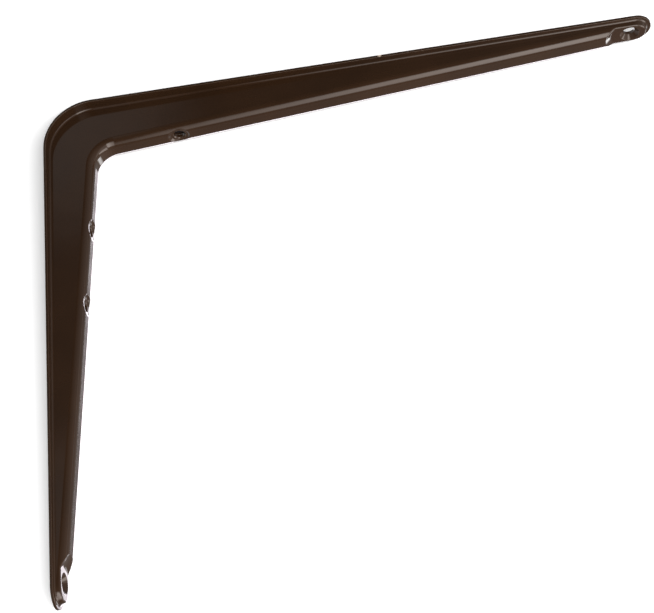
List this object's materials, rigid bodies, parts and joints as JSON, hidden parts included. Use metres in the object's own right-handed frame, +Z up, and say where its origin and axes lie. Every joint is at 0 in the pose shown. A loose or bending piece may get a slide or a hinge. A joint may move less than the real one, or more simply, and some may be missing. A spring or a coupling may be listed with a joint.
{
  "type": "shelf bracket",
  "caption": "One-piece pressed steel L-shaped shelf bracket with flat flanges, a hollow tapering rib and dished screw holes.",
  "frame": {"origin": "where the wall plane and the shelf plane would meet, on the bracket's middle plane", "axes": "+X along the shelf arm, away from the wall; +Z up, square to the shelf arm's top face; +Y across the bracket"},
  "size_m": [0.3, 0.0248, 0.25],
  "materials": {
    "paint": "glossy dark brown enamel"
  },
  "bodies": {
    "root": {"bracket": "paint"}
  },
  "joints": []
}
